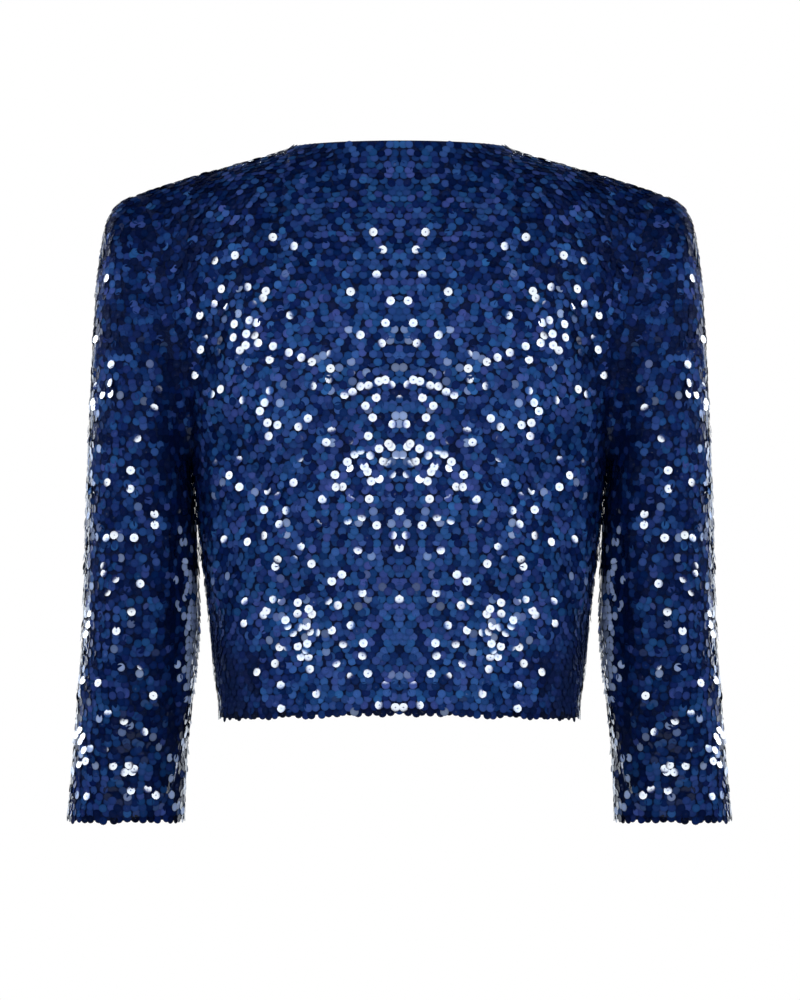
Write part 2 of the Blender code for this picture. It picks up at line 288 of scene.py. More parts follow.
# Brightness from 0 to 1: a middle value, spread by a fine mottle and by chance, with a share left dark
MIDDLE_SHADE = 0.60
MOTTLE = 0.20
SHADE_SPREAD = 0.50
DARKEST = 0.05
DARK_SHARE = 0.20
DARK_KEPT = 0.2
# Painted shade on the bottom row at the hem and cuffs: at most this share of their brightness is kept
EDGE_PAINTED_SHADE_KEPT = 0.4

# Painted half-glints: pale, misty ones, in the same places as those that glint but fewer
PAINTED_GLINT_SHARE = 0.30
PAINTED_GLINT_LEAST = 0.12
PAINTED_GLINT_RANGE = 0.55
PAINTED_SHEEN_SEEN = 0.1

# The torso's lower corners, where they lie flat and even, with painted shade making them dark and a faint
# painted sheen greying them
CALM_CORNER = Spot(0.146, -0.408, 0.032, 0.050, 1.0)
CALM_GAIN = 1.8
CORNER_PAINTED_SHADE = 0.10
CORNER_PAINTED_SHEEN = 0.015

# Random waves over the cloth: how many are added, what brings their sum to about 1, and their lengths
WAVES = 7
WAVE_SCALE = 1.87
RIPPLE_LENGTHS = (0.022, 0.060)
MOTTLE_LENGTHS = (0.008, 0.024)

# Finish of the sequins; places on a disc are shares of its width from its middle
SEQUIN_COLOURS = (
    (0.00, (0.0001, 0.002, 0.014)),
    (0.14, (0.0013, 0.016, 0.110)),
    (0.48, (0.0150, 0.058, 0.230)),
    (0.82, (0.0330, 0.095, 0.320)),
    (1.00, (0.0430, 0.118, 0.380)),
)
SEQUIN_TINTS = (
    (0.0, (0.60, 1.12, 1.00)),
    (0.5, (1.00, 1.00, 1.00)),
    (1.0, (1.70, 0.92, 1.04)),
)
# The silvery colour of the painted reflections and painted half-glints
PAINTED_SHEEN_SILVER = (0.58, 0.70, 1.0, 1.0)
# Painted shade darkens each disc towards its rim
RIM_START = 0.22
RIM_END = 0.50
RIM_PAINTED_SHADE = 0.80
HOLE_START = 0.02
HOLE_END = 0.08
HOLE_DEPTH = 0.00012
LEAST_ROUGH = 0.50
MOST_ROUGH = 0.70

# Finish of the cloth and the floor
WEAVE_SCALE = 900.0
WEAVE_DEPTH = 0.0004
WEAVE_COLOURS = (
    (0.0, (0.004, 0.014, 0.075)),
    (0.6, (0.001, 0.006, 0.035)),
)
FLOOR_GRAIN = 1.5
FLOOR_COLOURS = (
    (0.0, (0.50, 0.55, 0.62)),
    (1.0, (0.54, 0.59, 0.66)),
)

# Camera and floor
CAMERA_DISTANCE = 3.200
CAMERA_SIDE = -0.00045
CAMERA_HEIGHT = -0.2639
FRAME_HEIGHT = 0.7540
SENSOR = 36.0
FLOOR_HEIGHT = -1.42
FLOOR_RADIUS = 1.5
FLOOR_SIDES = 96

# Round lights of the studio in degrees, and faint clouds between them. Azimuth turns from the camera's
# side, +Y, towards +X. The small lamps are the ones that sequins catch.
Lamp = namedtuple("Lamp", "azimuth elevation inner outer strength")
LAMPS = tuple(Lamp(36.0 * k, 20.0, 3.0, 6.5, 30.0) for k in range(10))
WIDE_LIGHTS = (
    Lamp(0.0, 6.0, 0.0, 42.0, 0.05),
    Lamp(142.0, -4.0, 6.0, 18.0, 1.05),
    Lamp(158.0, -8.0, 5.0, 16.0, 1.40),
    Lamp(202.0, -8.0, 5.0, 16.0, 1.40),
    Lamp(218.0, -4.0, 6.0, 18.0, 1.05),
)
STUDIO_TINT = (0.86, 0.93, 1.0, 1.0)
CLOUDS = 0.10
CLOUD_SCALE = 9.0
CLOUD_START = 0.54
CLOUD_END = 0.70

# Turns points into their mirror image on the other side
FLIP = np.array([-1.0, 1.0, 1.0])


# Form, by the same formulas as the solids


def read_table(rows, key, wanted, at):
    """A smooth curve through one column of a table, read at the given key."""
    keys = np.array([getattr(row, key) if key else i for i, row in enumerate(rows)], float)
    values = np.array([getattr(row, wanted) for row in rows], float)
    steps = np.diff(values) / np.diff(keys)
    slopes = np.concatenate(([steps[0]], (steps[1:] + steps[:-1]) / 2, [steps[-1]]))
    at = np.clip(np.asarray(at, float), keys[0], keys[-1])
    i = np.clip(np.searchsorted(keys, at, side="right") - 1, 0, len(keys) - 2)
    gap = keys[i + 1] - keys[i]
    t = (at - keys[i]) / gap
    start = (1 + 2 * t) * (1 - t) ** 2 * values[i] + t * (1 - t) ** 2 * gap * slopes[i]
    end = t * t * (3 - 2 * t) * values[i + 1] + t * t * (t - 1) * gap * slopes[i + 1]
    return start + end


def smooth_step(t):
    t = np.clip(t, 0.0, 1.0)
    return t * t * (3 - 2 * t)


def unit(vectors):
    return vectors / np.maximum(np.linalg.norm(vectors, axis=-1, keepdims=True), 1e-12)


def path_length(points):
    """The distance along a line of points from its first one."""
    return np.concatenate(([0], np.cumsum(np.linalg.norm(np.diff(points, axis=0), axis=1))))


def torso_row(across, height, face):
    """A level row round the torso; face is 1 for the back and -1 for the front."""
    angle = np.asarray(across) * math.pi / 2
    power = 2 / ROUNDNESS
    width = read_table(TORSO_SECTIONS, "height", "half_width", height)
    depth_name = "back_depth" if face > 0 else "front_depth"
    depth = read_table(TORSO_SECTIONS, "height", depth_name, height)
    start = 0.0 if face > 0 else read_table(TORSO_SECTIONS, "height", "opening", height)
    x = start + (width - start) * np.sin(angle) ** power
    y = face * depth * np.abs(np.cos(angle)) ** power
    return np.stack([x, y, np.broadcast_to(height, x.shape)], axis=-1)


def hem_height(across, face):
    """The hem line, which dips towards the side seams and rounds off at the front corners."""
    across = np.asarray(across)
    if face > 0:
        return BACK_HEM_CENTRE + (BACK_HEM_SIDE - BACK_HEM_CENTRE) * smooth_step(across / BACK_HEM_SPAN)
    level = FRONT_HEM_CENTRE + (BACK_HEM_SIDE - FRONT_HEM_CENTRE) * smooth_step(across)
    edge = torso_row(across, FRONT_HEM_CENTRE, face)[..., 0]
    inset = np.clip(1 - (edge - edge.min()) / CORNER_RADIUS, 0.0, 1.0)
    return level + CORNER_RADIUS * (1 - np.sqrt(1 - inset ** 2))


def top_edge(across, face):
    """The neck edge as far as NECK_SHARE, then the shoulder seam out to the armhole."""
    across = np.asarray(across)
    angle = np.clip(across / NECK_SHARE, 0, 1) * math.pi / 2
    along = np.clip((across - NECK_SHARE) / (1 - NECK_SHARE), 0, 1)
    neck, tip = SHOULDER_SEAM[0], SHOULDER_SEAM[-1]
    shoulder_x = (tip.out - neck.out) * along
    shoulder_y = -NECK_SEAM_DEPTH * along
    shoulder_z = read_table(SHOULDER_SEAM, "out", "height", neck.out + shoulder_x)
    if face > 0:
        start = 0.0
        neck_y = (BACK_NECK_DEPTH - NECK_SEAM_DEPTH) * np.cos(angle)
        neck_z = BACK_NECK_RISE * np.cos(angle)
    else:
        start = float(read_table(TORSO_SECTIONS, "height", "opening", ARMPIT_HEIGHT)) - FRONT_NECK_INSET
        neck_y = (FRONT_NECK_DEPTH - NECK_SEAM_DEPTH) * np.cos(angle) ** FRONT_NECK_FULLNESS
        neck_z = -FRONT_NECK_DROP * np.cos(angle)
    x = start + (neck.out - start) * np.sin(angle) + shoulder_x
    y = NECK_SEAM_DEPTH + neck_y + shoulder_y
    return np.stack([x, y, shoulder_z + neck_z], axis=-1)


def upper_point(across, rise, face):
    """A point of the yoke; rise runs from 0 at armpit height to 1 at the neck or shoulder seam."""
    across, rise = np.broadcast_arrays(np.asarray(across, float), np.asarray(rise, float))
    table = BACK_UPRIGHTS if face > 0 else FRONT_UPRIGHTS
    chest = torso_row(across, ARMPIT_HEIGHT, face)
    top = top_edge(across, face)
    low = [read_table(table, "across", name, across) for name in ("low_x", "low_y", "low_z")]
    high = [read_table(table, "across", name, across) for name in ("high_x", "high_y", "high_z")]
    low = chest + np.stack(low, axis=-1)
    high = top + np.stack(high, axis=-1)
    t = rise[..., None]
    return chest * (1 - t) ** 3 + 3 * low * t * (1 - t) ** 2 + 3 * high * t * t * (1 - t) + top * t ** 3


def armhole_point(around):
    """The armhole as a loop: 0 at the shoulder tip, 0.25 at the back, 0.5 at the armpit."""
    around = np.asarray(around, float) % 1.0
    samples = np.linspace(0, 1, ARMHOLE_SAMPLES)
    points = np.zeros(around.shape + (3,))
    for face, share in ((1, around * 2), (-1, (1 - around) * 2)):
        line = upper_point(1.0, 1 - samples, face)
        length = path_length(line)
        here = around <= 0.5 if face > 0 else around > 0.5
        for axis in range(3):
            found = np.interp(share * length[-1], length, line[:, axis])
            points[..., axis] = np.where(here, found, points[..., axis])
    points[..., 0] += ARMHOLE_CLEARANCE
    return points


def sleeve_point(along, around):
    """A point of the left sleeve; along counts rings, around is a share of the ring."""
    along, around = np.broadcast_arrays(np.asarray(along, float), np.asarray(around, float))
    value = {name: read_table(SLEEVE_RINGS, None, name, along) for name in Ring._fields}
    angle = around * 2 * math.pi
    power = 2 / SLEEVE_ROUNDNESS
    out = np.sign(np.cos(angle)) * np.abs(np.cos(angle)) ** power
    back = np.sign(np.sin(angle)) * np.abs(np.sin(angle)) ** power
    middle = (value["back"] + value["front"]) / 2
    depth = (value["back"] - value["front"]) / 2
    x = (value["outer_x"] + value["inner_x"]) / 2 + (value["outer_x"] - value["inner_x"]) / 2 * out
    z = (value["outer_z"] + value["inner_z"]) / 2 + (value["outer_z"] - value["inner_z"]) / 2 * out
    oval = np.stack([x, middle + depth * back, z - value["lean"] * back / 2], axis=-1)
    blend = smooth_step(1 - along / ARMHOLE_BLEND)[..., None]
    return oval * (1 - blend) + armhole_point(around) * blend


def dent_depth(dent, run, dx, dy, overrun, fade):
    """A straight dent's depth at offsets from its start. It runs on past both ends and fades out there."""
    length = float(np.hypot(*run))
    share = (dx * run[0] + dy * run[1]) / length ** 2
    aside = (dx * run[1] - dy * run[0]) / length
    ends = smooth_step((share + overrun) / fade) * smooth_step((1 + overrun - share) / fade)
    return dent.depth * ends * np.exp(-(aside / dent.width) ** 2)


def fold_depth(along, around):
    """How far the folds press the sleeve's wall in at a place."""
    total = np.zeros(np.broadcast(along, around).shape)
    for fold in SLEEVE_FOLDS:
        run = ((fold.along_1 - fold.along_0) * RING_CENTRE_LENGTH,
               (fold.around_1 - fold.around_0) * RING_GIRTH)
        dx = (along - fold.along_0) * RING_CENTRE_LENGTH
        dy = (around - fold.around_0) * RING_GIRTH
        total += dent_depth(fold, run, dx, dy, FOLD_OVERRUN, FOLD_FADE)
    return total


# Surfaces: grids of points with rows from the hem or cuff up


def crease_depth(grid, creases):
    """How far the creases press a torso panel's cloth in, fading out before its edges."""
    out, height = grid[..., 0], grid[..., 2]
    total = np.zeros(out.shape)
    for crease in creases:
        run = (crease.out_1 - crease.out_0, crease.height_1 - crease.height_0)
        dx = out - crease.out_0
        dz = height - crease.height_0
        total += dent_depth(crease, run, dx, dz, CREASE_OVERRUN, CREASE_FADE)
    row = np.linspace(0, 1, grid.shape[0])[:, None]
    column = np.linspace(0, 1, grid.shape[1])[None, :]
    inside = smooth_step((1 - column) / CREASE_SIDE_FADE) * smooth_step(column / CREASE_SIDE_FADE)
    return total * inside * smooth_step(row / CREASE_HEM_FADE) * smooth_step((1 - row) / CREASE_TOP_FADE)


def panel_surface(face):
    """Half a torso panel at +X."""
    across = np.linspace(0, 1, PANEL_COLUMNS)[None, :]
    hem = hem_height(across, face)
    rise = np.linspace(0, 1, LOWER_ROWS, endpoint=False)[:, None]
    lower = torso_row(across, hem + (ARMPIT_HEIGHT - hem) * rise, face)
    upper = upper_point(across, np.linspace(0, 1, UPPER_ROWS)[:, None], face)
    grid = np.concatenate([lower, upper])
    creases = BACK_CREASES if face > 0 else FRONT_CREASES
    grid = grid - grid_normals(grid, False, -face) * crease_depth(grid, creases)[..., None]
    grid[:, -1, 1] += face * HALF_SEAM
    grid[-1, across[0] >= NECK_SHARE, 1] += face * HALF_SEAM
    return grid


def sleeve_surface():
    """The left sleeve; column 0 is the inner line, so that the cap's cut rows run unbroken."""
    last = len(SLEEVE_RINGS) - 1
    along = (last * (1 - np.linspace(0, 1, SLEEVE_ROWS)))[:, None]
    around = (0.5 + np.arange(SLEEVE_SIDES) / SLEEVE_SIDES)[None, :] % 1.0
    grid = sleeve_point(along, around)
    down = sleeve_point(along + SLOPE_STEP, around) - sleeve_point(along - SLOPE_STEP, around)
    sideways = sleeve_point(along, around + SLOPE_STEP) - sleeve_point(along, around - SLOPE_STEP)
    inward = unit(np.cross(sideways, down))
    return grid + inward * fold_depth(along, around)[..., None]


def grid_normals(grid, closed, outward):
    """Unit normals of a grid; outward is 1 or -1 to turn them to the cloth's outer side."""
    up = np.gradient(grid, axis=0)
    if closed:
        side = (np.roll(grid, -1, axis=1) - np.roll(grid, 1, axis=1)) / 2
    else:
        side = np.gradient(grid, axis=1)
    return unit(np.cross(side, up) * outward)


def read_grid(grid, row, column):
    """Values between a grid's points; row and column are places counted in grid steps."""
    rows, columns = grid.shape[:2]
    i = np.clip(np.floor(row).astype(int), 0, rows - 2)
    s = (row - i)[:, None]
    j = np.floor(column).astype(int)
    t = (column - j)[:, None]
    j0, j1 = j % columns, (j + 1) % columns
    low = grid[i, j0] * (1 - t) + grid[i, j1] * t
    high = grid[i + 1, j0] * (1 - t) + grid[i + 1, j1] * t
    return low * (1 - s) + high * s


# Sequins


def row_runs(grid, closed, top_gap):
    """Rows of sewing at even distances from the hem: number, places in grid steps, and if it closes."""
    rows, columns = grid.shape[:2]
    steps = np.linalg.norm(np.diff(grid, axis=0), axis=-1)
    length = np.concatenate([np.zeros((1, columns)), np.cumsum(steps, axis=0)])
    count = int((length[-1].max() - FIRST_ROW) / ROW_PITCH) + 1
    for k in range(count):
        distance = FIRST_ROW + k * ROW_PITCH
        inside = distance <= length[-1] - top_gap
        place = np.array([np.interp(distance, length[:, c], np.arange(rows)) for c in range(columns)])
        if closed and inside.all():
            yield k, np.append(place, place[0]), np.arange(columns + 1.0), True
            continue
        edges = np.flatnonzero(np.diff(np.concatenate([[0], inside.astype(int), [0]])))
        for start, stop in zip(edges[::2], edges[1::2]):
            if stop - start > SHORTEST_RUN:
                yield k, place[start:stop], np.arange(start, stop).astype(float), False


def seam_run(grid, closed, gap):
    """A row along the panel's top edge, at a distance from it that is given for each column."""
    rows, columns = grid.shape[:2]
    steps = np.linalg.norm(np.diff(grid, axis=0), axis=-1)
    down = np.concatenate([np.zeros((1, columns)), np.cumsum(steps[::-1], axis=0)])
    depth = np.array([np.interp(gap[c], down[:, c], np.arange(rows)) for c in range(columns)])
    place = rows - 1 - depth
    if closed:
        return np.append(place, place[0]), np.arange(columns + 1.0), True
    return place, np.arange(float(columns)), False


def sew(grid, closed, outward, start_gap, end_gap, top_gap, seam_gap, rng):
    """A panel's sequins: centres, normals, row directions, layers, and which are on a seam or the edge."""
    normals = grid_normals(grid, closed, outward)
    top = grid.shape[0] - 1.001
    found = []
    runs = [run + (False,) for run in row_runs(grid, closed, top_gap)]
    runs.append((1,) + seam_run(grid, closed, seam_gap) + (True,))
    for k, row, column, ring, seam in runs:
        line = read_grid(grid, row, column)
        length = path_length(line)
        if ring:
            count = max(2, round(length[-1] / SEQUIN_PITCH / 2) * 2)
            at = (np.arange(count) + rng.random()) * length[-1] / count
        else:
            start = start_gap + SEQUIN_PITCH * 0.5 * (k % 2)
            at = np.arange(start, length[-1] - end_gap, SEQUIN_PITCH)
        shifted = np.clip(at + rng.normal(0, ALONG_JITTER, len(at)), 0, length[-1])
        at = np.where(at > 0, shifted, 0.0)
        c = np.interp(at, length, column)
        r = np.interp(at, length, row)
        r = np.clip(r + rng.normal(0, ROW_JITTER, len(at)) / GRID_STEP, 0, top)
        if k == 0:
            r = np.where(rng.random(len(r)) < DROP_SHARE, 0.0, r)
        beyond = np.minimum(c + 0.5, column[-1])
        ahead = read_grid(grid, r, beyond) - read_grid(grid, r, beyond - 0.5)
        layer = np.arange(len(at)) % 2
        places = (read_grid(grid, r, c), read_grid(normals, r, c), ahead)
        found.append(places + (layer, np.full(len(at), seam), np.full(len(at), k == 0)))
    centre, normal, along, layer, seam, edge = (np.concatenate(part) for part in zip(*found))
    normal = unit(normal)
    along = unit(along - normal * np.sum(along * normal, axis=1, keepdims=True))
    return centre, normal, along, layer, seam, edge


def ripple(centre, rng, lengths):
    """A soft random wave over the cloth, from -1 to 1 or so."""
    total = np.zeros(len(centre))
    for _ in range(WAVES):
        turn = rng.normal(0, 1, 3)
        turn *= 2 * math.pi / rng.uniform(*lengths) / np.linalg.norm(turn)
        total += np.sin(centre @ turn + rng.uniform(0, 2 * math.pi))
    return total / WAVE_SCALE


def spot_strength(centre, spot):
    """A soft spot's strength at each place, full in the middle and fading to nothing."""
    out = (np.abs(centre[:, 0]) - spot.out) / spot.wide
    up = (centre[:, 2] - spot.height) / spot.tall
    return spot.strength * np.exp(-out ** 2 - up ** 2)


def total_strength(centre, spots):
    return sum(spot_strength(centre, spot) for spot in spots)


def calm(centre, kind):
    """How flat and even the sequins lie; they do at the torso's lower corners."""
    if kind == "sleeve":
        return np.zeros(len(centre))
    return smooth_step(spot_strength(centre, CALM_CORNER) * CALM_GAIN)


def sparkle_share(centre, kind):
    """The share of sequins that catch a lamp at each place."""
    if kind == "sleeve":
        share = np.full(len(centre), SLEEVE_SPARKLE) + total_strength(centre, SLEEVE_SPARKLES)
        dim = total_strength(centre, SLEEVE_PAINTED_SHADE_SPOTS)
    else:
        below_yoke = smooth_step((YOKE_LINE + YOKE_FADE / 2 - centre[:, 2]) / YOKE_FADE)
        share = TORSO_SPARKLE * (YOKE_SPARKLE + (1 - YOKE_SPARKLE) * below_yoke)
        share += total_strength(centre, TORSO_SPARKLES)
        dim = total_strength(centre, TORSO_PAINTED_SHADE_SPOTS)
    return share * (1 - calm(centre, kind)) * np.clip(1 - dim / DIM_LIMIT, LEAST_SPARKLE, 1.0)


def look_round(centre, normal):
    """The directions to a ring of eyes, the camera's first, and which of them each sequin is set for."""
    angle = np.arange(EYES) * 2 * math.pi / EYES
    eyes = np.stack([np.sin(angle), np.cos(angle)], axis=1) * CAMERA_DISTANCE
    eyes = np.concatenate([eyes, np.full((EYES, 1), CAMERA_HEIGHT)], axis=1)
    toward = unit(eyes[None] - centre[:, None])
    seen = np.sum(toward * normal[:, None], axis=2)
    return toward, np.where(seen[:, 0] > SEEN_LIMIT, 0, np.argmax(seen, axis=1))


def glints(facing, toward, lamps, clear):
    """Whether each sequin shows a lamp to each eye."""
    level = np.sum(facing[:, None] * toward, axis=2)
    glance = 2 * level[:, :, None] * facing[:, None] - toward
    return (level > 0) & ((glance @ lamps.T).max(axis=2) > clear)


def lean_facing(normal, along, up, lean):
    """Facings that lean from the normals by one angle along the row and one up the cloth."""
    return unit(normal + along * np.tan(lean[:, :1]) + up * np.tan(lean[:, 1:]))


def hang(normal, along, up, wave, spread, toward, best_eye, lamps, rng):
    """The way each sequin hangs by chance, drawn again where it would show a lamp to an eye."""
    clear = math.cos(math.radians(LAMPS[0].outer + LAMP_MARGIN))
    pick = np.arange(len(normal))
    facing = np.zeros((len(normal), 3))
    for attempt in range(REDRAWS):
        if attempt == FULL_REDRAWS:
            spread = np.maximum(spread, LATE_TILT)
        lean = rng.normal(0, 1, (len(pick), 2)) * spread[pick, None] + wave[pick]
        facing[pick] = lean_facing(normal[pick], along[pick], up[pick], lean)
        lit = glints(facing[pick], toward[pick], lamps, clear)
        own = lit[np.arange(len(pick)), best_eye[pick]]
        pick = pick[lit.any(axis=1) if attempt < FULL_REDRAWS else own]
        if not len(pick):
            break
    on_top = smooth_step((normal[:, 2:] - RIDGE_FROM) / RIDGE_FADE)
    return facing - along * np.sum(facing * along, axis=1, keepdims=True) * RIDGE_CALM * on_top


def face_sequins(centre, normal, along, seam, edge, kind, rng):
    """The way each sequin faces. Most hang at random angles, and a share of them catch a lamp."""
    count = len(centre)
    up = np.cross(normal, along)
    up *= np.where(up[:, 2:] < 0, -1.0, 1.0)
    wave = RIPPLE * np.stack([ripple(centre, rng, RIPPLE_LENGTHS) for _ in range(2)], axis=1)
    wave[:, 1] += SLEEVE_NAP if kind == "sleeve" else NAP
    toward, best_eye = look_round(centre, normal)
    lamps = np.array([direction(lamp.azimuth, lamp.elevation) for lamp in LAMPS])
    spread = np.where(rng.random(count) < LOOSE_SHARE, LOOSE_TILT, TILT)
    spread *= np.where(seam, SEAM_LOOSENESS, 1.0)
    spread *= 1 - CORNER_CALM * calm(centre, kind)
    spread *= 1 - TOP_CALM * smooth_step((normal[:, 2] - TOP_FROM) / TOP_FADE)
    facing = hang(normal, along, up, wave, spread, toward, best_eye, lamps, rng)

    usual = lean_facing(normal, along, up, wave)
    eye = toward[np.arange(count), best_eye]
    halves = unit(eye[:, None] + lamps[None])
    near = np.sum(halves * usual[:, None], axis=2)
    best = np.argmax(near, axis=1)
    caught = rng.random(count) < sparkle_share(centre, kind) * np.where(edge, EDGE_CATCH, 1.0)
    caught &= ~seam & (near.max(axis=1) > math.cos(CATCH_LIMIT))
    off = np.where(rng.random(count) < GLANCE_SHARE, GLANCE_SPREAD, CATCH_SPREAD)
    aim = halves[np.arange(count), best] + rng.normal(0, 1, (count, 3)) * off[:, None]
    facing[caught] = unit(aim[caught])
    facing[np.abs(centre[:, 0]) < ON_CENTRE, 0] = 0.0
    return unit(facing), caught


def shade_numbers(centre, kind, rng):
    """Three numbers for each sequin: its brightness, with painted shade in places, its tint and gloss, and
    how much painted sheen it shows from painted reflections, painted half-glints and the corners' faint
    painted sheen.
    """
    shade = rng.random((len(centre), 3))
    mottle = MOTTLE * ripple(centre, rng, MOTTLE_LENGTHS)
    shade[:, 0] = np.clip(MIDDLE_SHADE + mottle + SHADE_SPREAD * (shade[:, 0] - 0.5), 0.0, 1.0)
    shade[rng.random(len(centre)) < DARK_SHARE, 0] *= DARK_KEPT
    # Painted shade: brightness is lowered in the shade spots, and on the sleeves all over
    if kind == "sleeve":
        power = 1 + total_strength(centre, SLEEVE_PAINTED_SHADE_SPOTS) + SLEEVE_EXTRA_PAINTED_SHADE
        brightest = SLEEVE_PAINTED_SHADE_CAP
        painted_sheen = np.clip(total_strength(centre, PAINTED_REFLECTION_STRIPS), 0.0, 1.0)
    else:
        power = 1 + total_strength(centre, TORSO_PAINTED_SHADE_SPOTS)
        brightest = 1.0
        painted_sheen = 0.0
    shade[:, 0] = DARKEST + (brightest - DARKEST) * shade[:, 0] ** power
    # Painted half-glints are placed where real glints are common
    painted_glint = rng.random(len(centre)) < PAINTED_GLINT_SHARE * sparkle_share(centre, kind)
    # The third number holds painted half-glints, and elsewhere painted reflections at the silvery strips
    shade[:, 2] = np.where(painted_glint, PAINTED_GLINT_LEAST + PAINTED_GLINT_RANGE * shade[:, 2], rng.random(len(centre)) < painted_sheen)
    # Painted shade makes the corners dark and even, and a faint painted sheen greys them
    even = calm(centre, kind)
    shade[:, 0] = shade[:, 0] * (1 - even) + CORNER_PAINTED_SHADE * even
    shade[:, 2] = np.maximum(shade[:, 2], CORNER_PAINTED_SHEEN * even)
    return shade


def sequin_discs(centre, normal, along, layer, seam, edge, kind, rng):
    """Points of shallow dishes, rim first and then the middle, and each one's three shade numbers."""
    count = len(centre)
    facing, caught = face_sequins(centre, normal, along, seam, edge, kind, rng)
    along = unit(along - facing * np.sum(along * facing, axis=1, keepdims=True))
    across = np.cross(facing, along)
    shade = shade_numbers(centre, kind, rng)
    # Painted shade on the bottom row, which hangs over the edge
    shade[edge, 0] *= EDGE_PAINTED_SHADE_KEPT * rng.random(int(edge.sum()))
    lift = LIFT + LIFT_STEP * layer + LIFT_JITTER * rng.random(count)
    lift = np.where(seam, LIFT, lift) + np.where(caught, CATCH_LIFT, 0.0)
    # Those with a painted half-glint or painted reflection stand a little higher
    lift = np.where(~caught & (shade[:, 2] > PAINTED_SHEEN_SEEN), lift + PAINTED_SHEEN_LIFT, lift)
    middle = centre + normal * lift[:, None]
    angle = np.arange(SEQUIN_SIDES) / SEQUIN_SIDES * 2 * math.pi
    spoke = along[:, None] * np.cos(angle)[:, None] + across[:, None] * np.sin(angle)[:, None]
    rim = middle[:, None] + SEQUIN_RADIUS * spoke
    pit = middle - facing * SEQUIN_DISH
    return np.concatenate([rim, pit[:, None]], axis=1), shade


def mirror_discs(points, shade, keep_middle):
    """The same sequins on the other half; those on the centre line are left out unless they are kept."""
    picked = keep_middle | (np.abs(points[:, -1, 0]) > ON_CENTRE)
    points = points[picked]
    rim = points[:, SEQUIN_SIDES - 1::-1]
    other = np.concatenate([rim, points[:, SEQUIN_SIDES:]], axis=1) * FLIP
    return other, shade[picked]


def add_piece(name, mesh):
    """A new object with this mesh, linked to the scene."""
    piece = bpy.data.objects.new(name, mesh)
    bpy.context.scene.collection.objects.link(piece)
    return piece


def add_sequins(name, points, shade, material):
    """One mesh of shallow round dishes, with a colour attribute for each one's shade."""
    count, each = points.shape[:2]
    sides = each - 1
    rim = np.arange(sides)
    fan = np.stack([np.full(sides, sides), rim, (rim + 1) % sides], axis=1)
    loops = (np.arange(count)[:, None, None] * each + fan).reshape(-1)
    mesh = bpy.data.meshes.new(name)
    mesh.vertices.add(count * each)
    mesh.vertices.foreach_set("co", points.reshape(-1))
    mesh.loops.add(len(loops))
    mesh.loops.foreach_set("vertex_index", loops)
    mesh.polygons.add(count * sides)
    mesh.polygons.foreach_set("loop_start", np.arange(count * sides) * 3)
    mesh.update(calc_edges=True)
    mesh.shade_smooth()
    colour = np.concatenate([shade, np.ones((count, 1))], axis=1)
    layer = mesh.attributes.new("shade", "FLOAT_COLOR", "POINT")
    layer.data.foreach_set("color", np.repeat(colour, each, axis=0).reshape(-1))
    angle = rim / sides * 2 * math.pi
    disc = np.concatenate([np.stack([np.cos(angle), np.sin(angle)], axis=1) * 0.5 + 0.5, [[0.5, 0.5]]])
    uv = mesh.uv_layers.new(name="disc")
    uv.data.foreach_set("uv", np.tile(disc[fan.reshape(-1)], (count, 1)).reshape(-1))
    mesh.materials.append(material)
    return add_piece(name, mesh)


# Cloth shells


def add_shell(name, grid, closed, outward, material):
    """A thin cloth shell whose outer face is the grid."""
    rows, columns = grid.shape[:2]
    i, j = np.meshgrid(np.arange(rows - 1), np.arange(columns if closed else columns - 1), indexing="ij")
    low = i * columns
    high = low + columns
    k = (j + 1) % columns
    faces = np.stack([low + j, low + k, high + k, high + j], axis=-1).reshape(-1, 4)
    if outward < 0:
        faces = faces[:, ::-1]
    mesh = bpy.data.meshes.new(name)
    mesh.from_pydata(grid.reshape(-1, 3).tolist(), [], faces.tolist())
    mesh.materials.append(material)
    mesh.shade_smooth()
    piece = add_piece(name, mesh)
    wall = piece.modifiers.new("wall", "SOLIDIFY")
    wall.thickness = SHELL
    wall.offset = -1.0
    return piece


# Materials


def new_material(name):
    material = bpy.data.materials.new(name)
    material.use_nodes = True
    tree = material.node_tree
    return material, tree, tree.nodes["Principled BSDF"]


def add_node(tree, kind, inputs=None, **settings):
    node = tree.nodes.new(kind)
    for name, value in settings.items():
        setattr(node, name, value)
    for key, value in (inputs or {}).items():
        if isinstance(value, bpy.types.NodeSocket):
            tree.links.new(value, node.inputs[key])
        else:
            node.inputs[key].default_value = value
    return node


def add_range(tree, value, start, end, low, high, interpolation="SMOOTHSTEP"):
    """A number that goes from low to high while value goes from start to end."""
    inputs = {"Value": value, "From Min": start, "From Max": end, "To Min": low, "To Max": high}
    return add_node(tree, "ShaderNodeMapRange", inputs, interpolation_type=interpolation).outputs[0]


def add_mix(tree, share, first, second, blend="MIX"):
    """Two colours mixed; a colour mix has its share at socket 0 and its colours at 6 and 7."""
    inputs = {0: share, 6: first, 7: second}
    return add_node(tree, "ShaderNodeMix", inputs, data_type="RGBA", blend_type=blend).outputs[2]


def add_ramp(tree, value, stops):
    """Colours read off a ramp by a number."""
    node = add_node(tree, "ShaderNodeValToRGB", {0: value})
    elements = node.color_ramp.elements
    while len(elements) > len(stops):
        elements.remove(elements[-1])
    for i, (at, colour) in enumerate(stops):
        element = elements[i] if i < len(elements) else elements.new(at)
        element.position = at
        element.color = (*colour, 1.0)
    return node.outputs["Color"]


